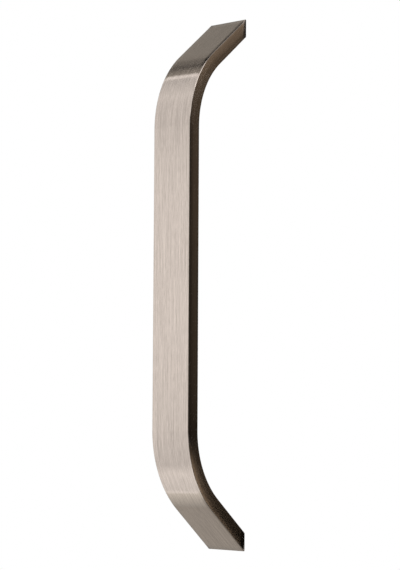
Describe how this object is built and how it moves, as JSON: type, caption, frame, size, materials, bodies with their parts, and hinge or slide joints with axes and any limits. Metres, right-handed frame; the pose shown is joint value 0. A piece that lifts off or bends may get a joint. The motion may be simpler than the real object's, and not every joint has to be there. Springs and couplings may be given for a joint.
{
  "type": "cabinet handle",
  "caption": "Flat bar bow handle for a cabinet door or drawer front, with legs that splay out to the door and tapped screw holes in the feet.",
  "frame": {"origin": "on the door's face, midway between the two screw holes", "axes": "+Z along the grip, +Y into the door, the grip's front faces -Y"},
  "size_m": [0.015, 0.0285, 0.1738],
  "materials": {
    "brushed_nickel": "warm satin nickel plate, brushed along the bar"
  },
  "bodies": {
    "root": {"handle": "brushed_nickel"}
  },
  "joints": []
}
